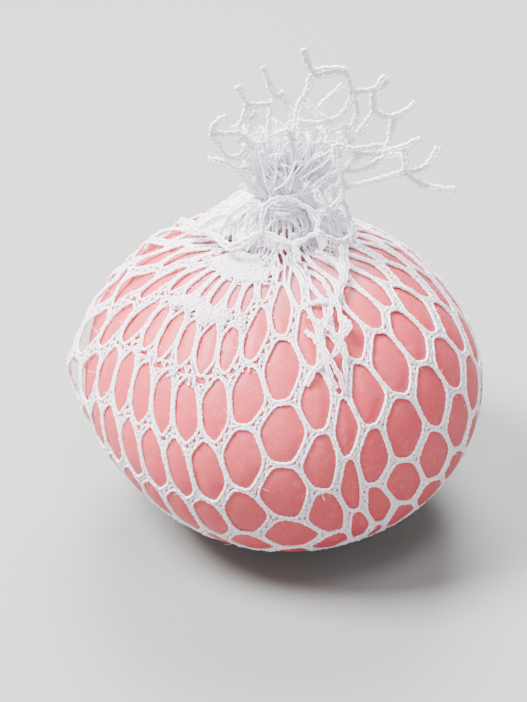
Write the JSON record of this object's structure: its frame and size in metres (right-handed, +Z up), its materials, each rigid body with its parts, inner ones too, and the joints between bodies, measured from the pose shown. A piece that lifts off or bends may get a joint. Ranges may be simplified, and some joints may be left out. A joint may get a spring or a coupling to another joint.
{
  "type": "stress ball",
  "caption": "Soft dough-filled balloon in a knitted net tied above its knot, with a loose tuft of net on top; squeezed in the hand.",
  "frame": {"origin": "middle of the face that the ball rests on", "axes": "+Z up through the knot and tuft, -Y towards the front, +X to the right"},
  "size_m": [0.075, 0.075, 0.0959],
  "materials": {
    "dough": "soft matt dough",
    "latex": "satin pink latex",
    "net": "white knitted cotton and elastic yarn",
    "thread": "white twisted thread"
  },
  "bodies": {
    "ball": {"filling": "dough", "balloon_skin": "latex", "net_sleeve": "net", "base_tie": "thread", "net_strip": "net"},
    "crown": {"balloon_knot": "latex", "balloon_tail": "latex", "net_bunch": "net", "neck_tie": "thread", "net_collar": "net"},
    "tuft": {"tuft_left": "net", "tuft_middle": "net", "tuft_right": "net"}
  },
  "joints": [
    {"name": "squeeze", "type": "slide", "parent": "ball", "child": "crown", "axis": [0, 0, -1], "range_m": [0, 0.014], "stiffness_N_per_m": 1400, "deforming": ["filling", "balloon_skin", "net_sleeve", "net_strip"]},
    {"name": "tuft_sway", "type": "hinge", "parent": "crown", "child": "tuft", "pos_m": [0, 0, 0.06495], "axis": [0, 1, 0], "range_deg": [-18, 18], "stiffness_Nm_per_rad": 0.02}
  ]
}
